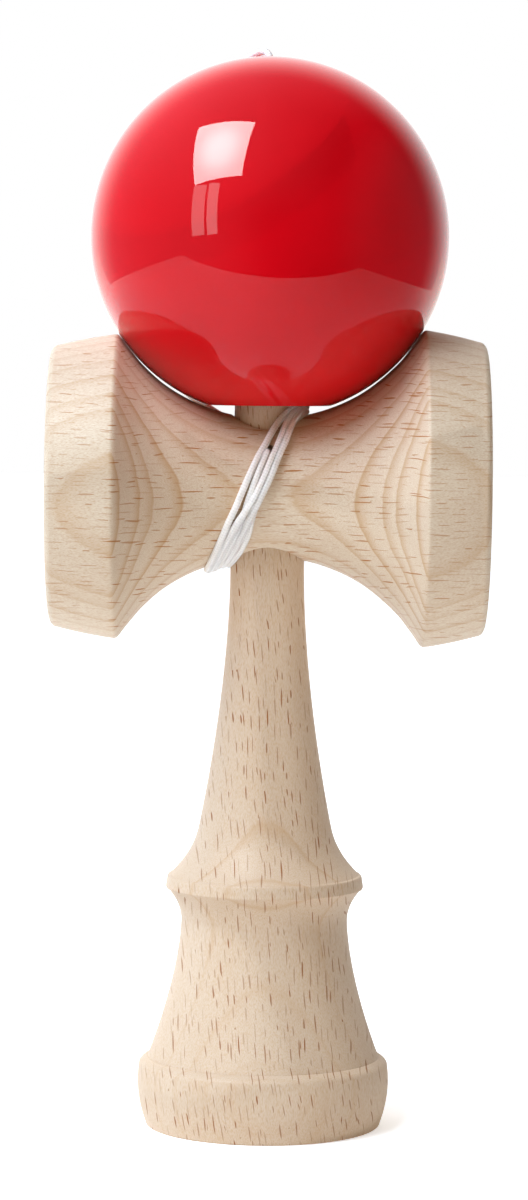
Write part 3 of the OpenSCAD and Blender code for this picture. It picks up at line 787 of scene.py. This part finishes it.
def ballOutline(b):
    mouthZ = -sqrt(b["radius"] ** 2 - b["mouth"] ** 2)
    bevelZ, roofZ = mouthZ + b["bevel"], mouthZ + b["depth"]
    eyeZ, ease = b["radius"] - b["eyeDepth"], b["ease"]
    first, last = atan2(b["eyeFlare"], b["eyeRim"]), pi - atan2(b["mouth"], -mouthZ)
    angles = [between(first, last, f) for f in steps(150)]
    sphere = [(b["radius"] * sin(a), b["radius"] * cos(a)) for a in angles]
    topEdge = rounded((b["eye"], eyeZ), sphere[0], sphere[3], b["edge"], 5)
    mouthEdge = rounded(sphere[-3], sphere[-1], (b["hole"], bevelZ), b["edge"], 6)
    wall = [(b["hole"] + ease, bevelZ - 2 * ease), (b["hole"], bevelZ + ease),
            (b["hole"], roofZ - b["wallRing"]), (b["hole"], roofZ - 2 * ease)]
    roof = [(b["hole"] - 3 * ease, roofZ + 1.5 * ease), (b["eye"] + 2 * ease, roofZ + b["roof"] - ease),
            (b["eye"], roofZ + b["roof"] + 1.5 * ease), (b["eye"], eyeZ - ease)]
    return tidyOutline(topEdge + sphere[2:-2] + mouthEdge + wall + roof)


def makeLacquer(c):
    material, tree, shader = newMaterial("redLacquer", c["red"])
    place = objectPlace(tree)
    cloud = noiseAt(tree, place, c["cloud"], 3.0)
    flow = noiseAt(tree, place, c["flow"], 1.0)
    grain = noiseAt(tree, place, c["grain"], 3.0)
    fill(tree, shader.inputs, {
        "Base Color": mixColor(tree, spread(tree, cloud, 0.3, 0.7), c["red"], c["deep"]),
        "Roughness": spread(tree, grain, 0.3, 0.7, *c["rough"]), "Specular IOR Level": 0.0,
        "Coat Weight": c["coat"], "Coat Roughness": c["coatRough"], "Coat IOR": c["coatIndex"],
        "Coat Normal": bumpFrom(tree, flow, c["bump"], c["bumpHeight"])})
    return material


ballMesh = turned("ball", ballOutline(ballTurning), ballTurning["segments"], "Z", ballTurning["centre"])
ball = addObject("ball", ballMesh, makeLacquer(redLacquer))
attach(ball, "ball")
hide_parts("ball")
print("kendama: ball turned")


# bead that the ball hangs on, inside its hole

beadTurning = {"radius": 3, "height": 5, "hole": 0.9, "edge": 0.25, "edgeIn": 0.08, "edgeDown": 0.07,
               "segments": 96}


def makeBead(b):
    low, high = (Vector(corner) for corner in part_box("swivel_bead"))
    half = b["height"] / 2
    most = atan2(sqrt(b["radius"] ** 2 - half ** 2), half)
    angles = [between(most, pi - most, f) for f in steps(30)]
    side = [(b["radius"] * sin(a), b["radius"] * cos(a)) for a in angles]
    top = [(b["hole"], half - b["edge"]), (b["hole"] + b["edgeIn"], half - b["edgeDown"]),
           (b["hole"] + b["edge"], half)]
    bottom = [(r, -h) for r, h in reversed(top)]
    mesh = turned("bead", top + side + bottom, b["segments"], "Z", (low.z + high.z) / 2 / mm)
    return addObject("bead", mesh, stickBeech)


bead = makeBead(beadTurning)
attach(bead, "bead")
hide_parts("swivel_bead")
print("kendama: bead turned")


# studio: white table, softbox over the left shoulder, window panes, soft light that differs by direction

whiteTable = {"front": [(-0.64, -0.41), (0, -0.307), (0.43, -0.25)],
              "sides": [(0.52, 0.6), (2.5, 3.5), (-2.5, 3.5), (-0.53, 0.5)], "colour": 0.85, "rough": 0.7,
              "specular": 0.1, "glow": 0.55, "light": 0.2, "tint": (1.08, 1.0, 0.9), "mirrorLeft": 1.0,
              "mirrorRight": 0.45, "mirrorAcross": (-0.1, 0.3), "mirrorNear": 0.36, "mirrorFar": 1.1,
              "mirrorDepth": (0.08, 0.5)}


def addTable(t):
    white = (t["colour"],) * 3
    material, tree, shader = newMaterial("whiteTable", white)
    seen = put(tree, "ShaderNodeLightPath").outputs
    camera, glossy = seen["Is Camera Ray"], seen["Is Glossy Ray"]
    # the lacquer mirrors a dimmer table, dimmer still to the right, which is painted shade in its reflection,
    # and a table that glows brighter further back, which is painted light in its reflection
    place = parts(tree, objectPlace(tree))
    dim = spread(tree, place[0], *t["mirrorAcross"], t["mirrorLeft"], t["mirrorRight"])
    glow = calc(tree, "MULTIPLY_ADD", camera, t["glow"] - t["light"], t["light"])
    far = spread(tree, place[1], *t["mirrorDepth"], t["mirrorNear"], t["mirrorFar"], True)
    glow = plus(tree, times(tree, glow, minus(tree, 1.0, glossy)), times(tree, far, glossy))
    fill(tree, shader.inputs, {
        "Base Color": mixColor(tree, glossy, white, vector(tree, dim, dim, dim)), "Roughness": t["rough"],
        "Specular IOR Level": t["specular"], "Emission Strength": glow,
        "Emission Color": mixColor(tree, camera, t["tint"], (1, 1, 1))})
    material.cycles.emission_sampling = "NONE"
    mesh = bpy.data.meshes.new("table")
    corners = [(x, y, 0) for x, y in t["front"] + t["sides"]]
    mesh.from_pydata(corners, [], [range(len(corners))])
    addObject("table", mesh, material)


# the softbox is two lamps, one that the lacquer shows and one that lights
softbox = {"place": (-0.4605, -0.4303, 0.926), "up": (0.246, 0.779, 0.577), "width": 0.543, "height": 0.698}
softboxLook = {"shine": 45.0, "middle": 0.1, "rim": 0.55, "rimShine": 0.62,
               "light": 14.4, "tint": (0.86, 0.99, 1.15)}
windowPanes = {"shine": 1.15, "panes": [
    {"place": (-0.7107, -0.6621, 0.3873), "up": (0.097, 0.242, 0.965), "width": 0.147, "height": 0.517},
    {"place": (-0.5883, -0.766, 0.4088), "up": (0.086, 0.259, 0.962), "width": 0.12, "height": 0.545}]}


# a lamp that faces the ball
def addLamp(name, power, place, up, width, height):
    data = bpy.data.lights.new(name, "AREA")
    data.shape = "RECTANGLE"
    data.size, data.size_y = width, height
    data.energy = power
    lamp = bpy.data.objects.new(name, data)
    scene.collection.objects.link(lamp)
    place = Vector(place)
    z = (place - Vector((0, 0, ballTurning["centre"] * mm))).normalized()
    x = Vector(up).cross(z).normalized()
    turn = Matrix((x, z.cross(x), z)).transposed()
    lamp.matrix_world = Matrix.Translation(place) @ turn.to_4x4()
    return lamp


def addLamps(look):
    shine = addLamp("softboxShine", look["shine"], **softbox)
    shine.visible_diffuse = False
    # its cloth is brighter in the middle
    shine.data.use_nodes = True
    cloth = shine.data.node_tree
    spot = put(cloth, "ShaderNodeNewGeometry").outputs["Parametric"]
    reach = vectorMath(cloth, "DISTANCE", {0: spot, 1: (0.5, 0.5, 0.0)})["Value"]
    fall = spread(cloth, reach, look["middle"], look["rim"], 1.0, look["rimShine"], True)
    cloth.links.new(fall, cloth.nodes["Emission"].inputs["Strength"])
    # window panes that only the lacquer shows
    for pane in windowPanes["panes"]:
        addLamp("windowShine", windowPanes["shine"], **pane).visible_diffuse = False
    light = addLamp("softboxLight", look["light"], **softbox)
    light.data.color = look["tint"]
    light.visible_glossy = False


# ranges are parts of a direction, along X, Y or Z
softLight = {"left": 1.3, "leftTint": (0.72, 1.04, 1.5), "leftRange": (-0.6, 0.2),
             "back": 1.38, "backTint": (1.11, 1.0, 0.86), "backRange": (-0.1, 0.7), "backRight": 0.55,
             "top": 0.08, "topTint": (1.0, 1.0, 1.0), "front": 0.42, "frontTint": (1.35, 0.95, 0.5)}
mirroredRoom = {"wall": 1.45, "wallRange": (0.45, 0.9), "wallLean": -0.3, "room": 0.042, "blue": 0.2,
                "left": 0.52, "leftRange": (0.1, -0.95), "right": 0.15, "rightRange": (0.6, 0.95),
                "top": 0.5, "topRange": (0.1, 1.0), "topAside": (0.6, -0.1)}


# what the lacquer mirrors: a white wall behind, a dim room in front
def roomSeen(tree, way, m):
    behind = spread(tree, way[1], *m["wallRange"], 0.0, 1.0, True)
    left = spread(tree, way[0], *m["leftRange"], 0.0, m["left"], True)
    right = spread(tree, way[0], *m["rightRange"], 0.0, m["right"], True)
    top = spread(tree, way[2], *m["topRange"], 0.0, m["top"], True)
    top = times(tree, top, spread(tree, way[0], *m["topAside"]))
    wall = times(tree, behind, calc(tree, "MULTIPLY_ADD", way[0], m["wallLean"], m["wall"]))
    dim = times(tree, plus(tree, left, top, right, m["room"]), minus(tree, 1.0, behind))
    room = plus(tree, dim, wall)
    return vector(tree, room, room, calc(tree, "MULTIPLY_ADD", dim, m["blue"], room))


# soft light on everything else, mostly from the left and from behind
def lightFelt(tree, way, s):
    leftFall = spread(tree, way[1], *s["leftRange"])
    backFall = spread(tree, way[0], *s["backRange"], 1.0, s["backRight"])
    sides = [(times(tree, way[0], -s["left"]), leftFall, s["leftTint"]),
             (times(tree, way[1], s["back"]), backFall, s["backTint"]),
             (times(tree, way[2], s["top"]), 1.0, s["topTint"]),
             (times(tree, way[1], -s["front"]), times(tree, way[1], way[1]), s["frontTint"])]
    felt = (0, 0, 0)
    for facing, fall, tint in sides:
        strength = times(tree, calc(tree, "MAXIMUM", facing, 0.0), fall)
        share = vectorMath(tree, "SCALE", {0: tint, "Scale": strength})[0]
        felt = vectorMath(tree, "ADD", {0: felt, 1: share})[0]
    return felt


def addWorld():
    world = bpy.data.worlds.new("studio")
    world.use_nodes = True
    scene.world = world
    tree = world.node_tree
    way = parts(tree, put(tree, "ShaderNodeTexCoord").outputs["Generated"])
    seen = put(tree, "ShaderNodeLightPath").outputs
    colour = mixColor(tree, seen["Is Glossy Ray"], lightFelt(tree, way, softLight),
                      roomSeen(tree, way, mirroredRoom))
    plain = calc(tree, "MAXIMUM", seen["Is Camera Ray"], seen["Is Transmission Ray"])
    tree.links.new(mixColor(tree, plain, colour, (1, 1, 1)), tree.nodes["Background"].inputs["Color"])


addTable(whiteTable)
addLamps(softboxLook)
addWorld()
print("kendama: studio lit")
